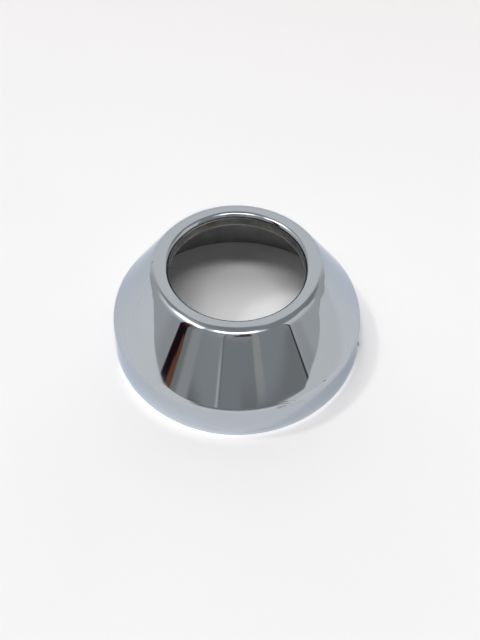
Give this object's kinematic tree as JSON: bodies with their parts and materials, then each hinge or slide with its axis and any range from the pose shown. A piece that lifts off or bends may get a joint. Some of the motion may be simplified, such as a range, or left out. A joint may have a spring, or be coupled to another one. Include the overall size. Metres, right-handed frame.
{
  "type": "pipe rosette",
  "caption": "Round flared cover for a pipe at a wall: conical sheet bell with an upright skirt, rounded shoulders and a short turned-in collar round the pipe hole.",
  "frame": {"origin": "centre of the base edge, on the plane that sits against the wall", "axes": "+Z along the pipe's axis, from the wall towards the crown; +X and +Y are free, because the part is round"},
  "size_m": [0.064, 0.064, 0.026],
  "materials": {
    "chromed_sheet": "polished chrome plate with fine scratches; the inside is duller"
  },
  "bodies": {
    "root": {"rosette": "chromed_sheet"}
  },
  "joints": []
}
